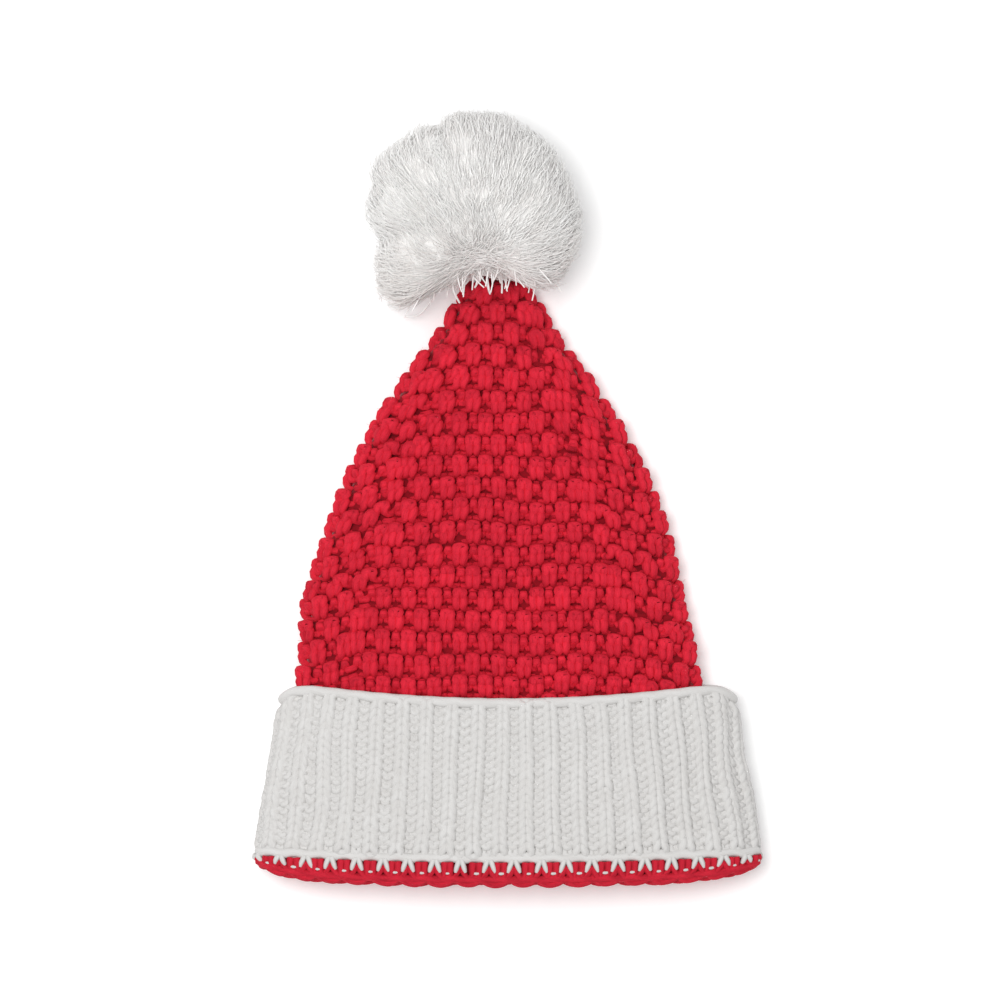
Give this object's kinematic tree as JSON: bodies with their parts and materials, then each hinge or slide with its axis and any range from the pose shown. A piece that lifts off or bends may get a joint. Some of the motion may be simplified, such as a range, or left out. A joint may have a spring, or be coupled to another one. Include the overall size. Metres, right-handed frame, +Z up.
{
  "type": "knitted santa hat",
  "caption": "Chunky knitted red hat lying flat on its back, with a white ribbed turned-up cuff, a scalloped red hem and a big white yarn pompom.",
  "frame": {"origin": "middle of the footprint, on the surface that the hat lies on", "axes": "+X across the hat, +Y along it from the hem to the pompom, +Z up from the surface"},
  "size_m": [0.244, 0.3714, 0.0748],
  "materials": {
    "red_knit": "matt bulky yarn knitted in staggered fat stitches",
    "white_rib": "matt yarn in a one-by-one rib",
    "red_edging": "matt bulky yarn in a scalloped edge",
    "white_yarn": "matt cut yarn ends, slightly frayed"
  },
  "bodies": {
    "root": {"crown": "red_knit", "cuff": "white_rib", "hem_edging": "red_edging", "pompom": "white_yarn"}
  },
  "joints": []
}
